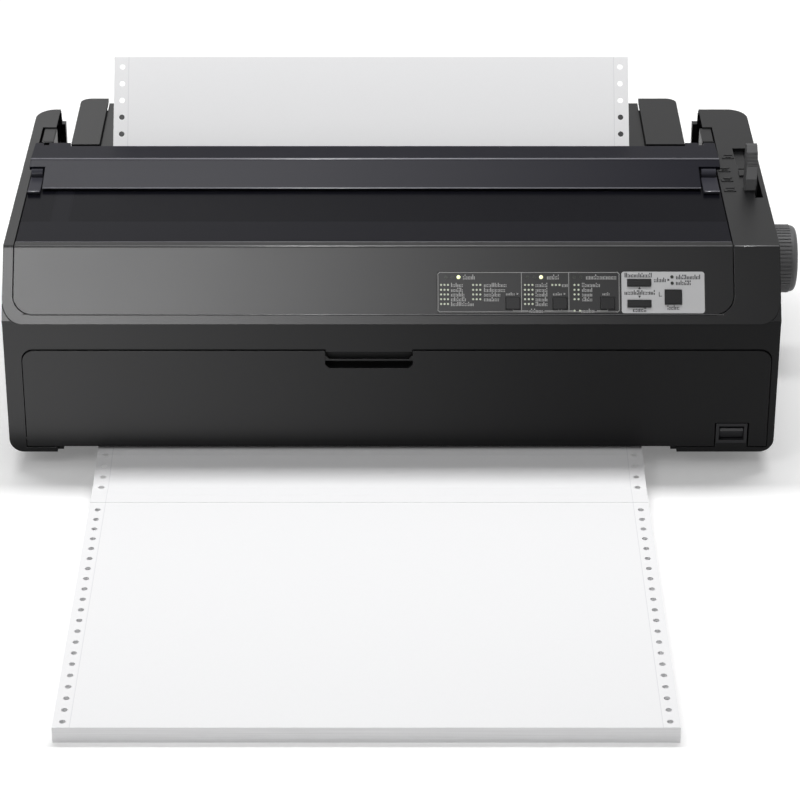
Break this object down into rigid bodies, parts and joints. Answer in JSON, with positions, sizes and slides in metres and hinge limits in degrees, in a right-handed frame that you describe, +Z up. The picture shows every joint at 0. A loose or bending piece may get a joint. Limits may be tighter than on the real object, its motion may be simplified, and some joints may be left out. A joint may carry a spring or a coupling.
{
  "type": "dot matrix printer",
  "caption": "Wide-carriage impact printer with smoked hinged lid, fold-down front cover, platen knob and release lever, fed with fan-fold paper from the front.",
  "frame": {"origin": "centre of the footprint of printer and paper together, on the surface that the feet stand on", "axes": "+X to the operator's right, +Y from the front of the printer to its back, +Z up"},
  "size_m": [0.5606, 0.6364, 0.2066],
  "materials": {
    "case": "fine-textured charcoal moulding",
    "feet": "moulded black rubber",
    "steel": "zinc-plated sheet and bright bar",
    "mode_label": "dark printed film",
    "key_label": "light grey printed film",
    "lamps": "clear lamp windows",
    "keys": "moulded grey keys",
    "smoke": "smoked clear plastic",
    "flap": "smoked plastic",
    "knob": "grey moulded plastic",
    "black": "black moulding",
    "platen": "ground rubber roller",
    "board": "green solder mask",
    "paper": "uncoated white paper",
    "nylon": "natural nylon gear"
  },
  "bodies": {
    "case": {"lower_case": "case", "upper_case": "case", "rubber_feet": "feet", "case_screws": "steel", "control_panel": "case", "panel_key_label": "key_label", "panel_mode_label": "mode_label", "panel_lamps": "lamps", "switch_frame": "black", "lever_bracket": "steel", "idler_pins": "steel", "tractor_left": "black", "tractor_right": "black", "tractor_rail": "steel", "chassis": "steel", "side_frame_left": "steel", "side_frame_right": "steel", "carriage_rod": "steel", "ribbon_cartridge": "black", "carriage_belt": "platen", "carriage_motor": "steel", "feed_motor": "steel", "main_board": "board", "power_supply": "steel", "power_inlet": "black", "data_ports": "steel", "paper_pile": "paper", "paper_web": "paper"},
    "load_key_cap": {"load_key": "keys"},
    "line_feed_key_cap": {"line_feed_key": "keys"},
    "pause_key_cap": {"pause_key": "keys"},
    "font_key_cap": {"font_key": "keys"},
    "pitch_key_cap": {"pitch_key": "keys"},
    "menu_key_cap": {"menu_key": "keys"},
    "lid": {"printer_cover": "smoke"},
    "exit_flap": {"paper_flap": "flap"},
    "guide": {"paper_guide": "case"},
    "left_edge_guide": {"edge_guide_left": "case"},
    "right_edge_guide": {"edge_guide_right": "case"},
    "front_door": {"front_cover": "case"},
    "rocker": {"power_rocker": "black"},
    "lever": {"release_lever": "knob"},
    "platen": {"platen_roller": "platen", "platen_knob": "knob", "platen_gear": "nylon"},
    "rear_idler": {"idler_gear_rear": "nylon"},
    "front_idler": {"idler_gear_front": "nylon"},
    "tractor_drive": {"tractor_shaft": "steel"},
    "left_tractor_lid": {"tractor_lid_left": "black"},
    "right_tractor_lid": {"tractor_lid_right": "black"},
    "print_carriage": {"carriage": "black", "print_head": "steel"},
    "ribbon_winder": {"ribbon_knob": "knob"},
    "left_pulley": {"belt_pulley_left": "nylon"},
    "right_pulley": {"belt_pulley_right": "nylon"}
  },
  "joints": [
    {"name": "load_key_press", "type": "slide", "parent": "case", "child": "load_key_cap", "axis": [0, 0.7952, -0.6063], "range_m": [0, 0.0007], "stiffness_N_per_m": 900, "springref_m": -0.0006},
    {"name": "line_feed_key_press", "type": "slide", "parent": "case", "child": "line_feed_key_cap", "axis": [0, 0.7952, -0.6063], "range_m": [0, 0.0007], "stiffness_N_per_m": 900, "springref_m": -0.0006},
    {"name": "pause_key_press", "type": "slide", "parent": "case", "child": "pause_key_cap", "axis": [0, 0.7952, -0.6063], "range_m": [0, 0.0007], "stiffness_N_per_m": 900, "springref_m": -0.0006},
    {"name": "font_key_press", "type": "slide", "parent": "case", "child": "font_key_cap", "axis": [0, 0.7952, -0.6063], "range_m": [0, 0.0007], "stiffness_N_per_m": 900, "springref_m": -0.0006},
    {"name": "pitch_key_press", "type": "slide", "parent": "case", "child": "pitch_key_cap", "axis": [0, 0.7952, -0.6063], "range_m": [0, 0.0007], "stiffness_N_per_m": 900, "springref_m": -0.0006},
    {"name": "menu_key_press", "type": "slide", "parent": "case", "child": "menu_key_cap", "axis": [0, 0.7952, -0.6063], "range_m": [0, 0.0007], "stiffness_N_per_m": 900, "springref_m": -0.0006},
    {"name": "lid_hinge", "type": "hinge", "parent": "case", "child": "lid", "pos_m": [-0.0153, 0.217, 0.148], "axis": [-1, 0, 0], "range_deg": [0, 70]},
    {"name": "flap_hinge", "type": "hinge", "parent": "lid", "child": "exit_flap", "pos_m": [-0.0153, 0.2075, 0.1602], "axis": [-1, 0, 0], "range_deg": [0, 50]},
    {"name": "guide_hinge", "type": "hinge", "parent": "case", "child": "guide", "pos_m": [-0.0153, 0.24, 0.1415], "axis": [1, 0, 0], "range_deg": [0, 48]},
    {"name": "left_edge_slide", "type": "slide", "parent": "guide", "child": "left_edge_guide", "axis": [1, 0, 0], "range_m": [0, 0.06]},
    {"name": "right_edge_slide", "type": "slide", "parent": "guide", "child": "right_edge_guide", "axis": [-1, 0, 0], "range_m": [0, 0.06]},
    {"name": "front_cover_hinge", "type": "hinge", "parent": "case", "child": "front_door", "pos_m": [-0.0153, 0.0224, 0.022], "axis": [1, 0, 0], "range_deg": [0, 75]},
    {"name": "power_rocker_tilt", "type": "hinge", "parent": "case", "child": "rocker", "pos_m": [0.2201, 0.03, 0.0272], "axis": [-1, 0, 0], "range_deg": [0, 10]},
    {"name": "release_lever_swing", "type": "hinge", "parent": "case", "child": "lever", "pos_m": [0.2397, 0.168, 0.097], "axis": [-1, 0, 0], "range_deg": [0, 40]},
    {"name": "platen_turn", "type": "hinge", "parent": "case", "child": "platen", "pos_m": [-0.0153, 0.1935, 0.0785], "axis": [1, 0, 0], "continuous": true},
    {"name": "rear_idler_turn", "type": "hinge", "parent": "case", "child": "rear_idler", "pos_m": [0.2157, 0.15224, 0.06321], "axis": [1, 0, 0], "continuous": true},
    {"name": "front_idler_turn", "type": "hinge", "parent": "case", "child": "front_idler", "pos_m": [0.2157, 0.10723, 0.04654], "axis": [1, 0, 0], "continuous": true},
    {"name": "tractor_turn", "type": "hinge", "parent": "case", "child": "tractor_drive", "pos_m": [-0.0153, 0.0707, 0.033], "axis": [1, 0, 0], "continuous": true},
    {"name": "left_tractor_lid_hinge", "type": "hinge", "parent": "case", "child": "left_tractor_lid", "pos_m": [-0.2226, 0.073, 0.0454], "axis": [0, -1, 0], "range_deg": [0, 100]},
    {"name": "right_tractor_lid_hinge", "type": "hinge", "parent": "case", "child": "right_tractor_lid", "pos_m": [0.162, 0.073, 0.0454], "axis": [0, 1, 0], "range_deg": [0, 100]},
    {"name": "carriage_slide", "type": "slide", "parent": "case", "child": "print_carriage", "axis": [1, 0, 0], "range_m": [-0.028, 0.31]},
    {"name": "left_pulley_turn", "type": "hinge", "parent": "case", "child": "left_pulley", "pos_m": [-0.2588, 0.135, 0.055], "axis": [0, 0, 1], "range_deg": [-202.5, 2222.2]},
    {"name": "right_pulley_turn", "type": "hinge", "parent": "case", "child": "right_pulley", "pos_m": [0.1847, 0.135, 0.055], "axis": [0, 0, 1], "range_deg": [-202.5, 2222.2]},
    {"name": "ribbon_knob_turn", "type": "hinge", "parent": "case", "child": "ribbon_winder", "pos_m": [-0.1653, 0.096, 0.12], "axis": [0, 0, 1], "continuous": true}
  ],
  "couplings": [
    {"joint": "rear_idler_turn", "follows": "platen_turn", "ratio": -0.83333},
    {"joint": "front_idler_turn", "follows": "platen_turn", "ratio": 0.83333},
    {"joint": "tractor_turn", "follows": "platen_turn", "ratio": -1.3333},
    {"joint": "left_pulley_turn", "follows": "carriage_slide", "rad_per_m": 125},
    {"joint": "right_pulley_turn", "follows": "carriage_slide", "rad_per_m": 125}
  ]
}
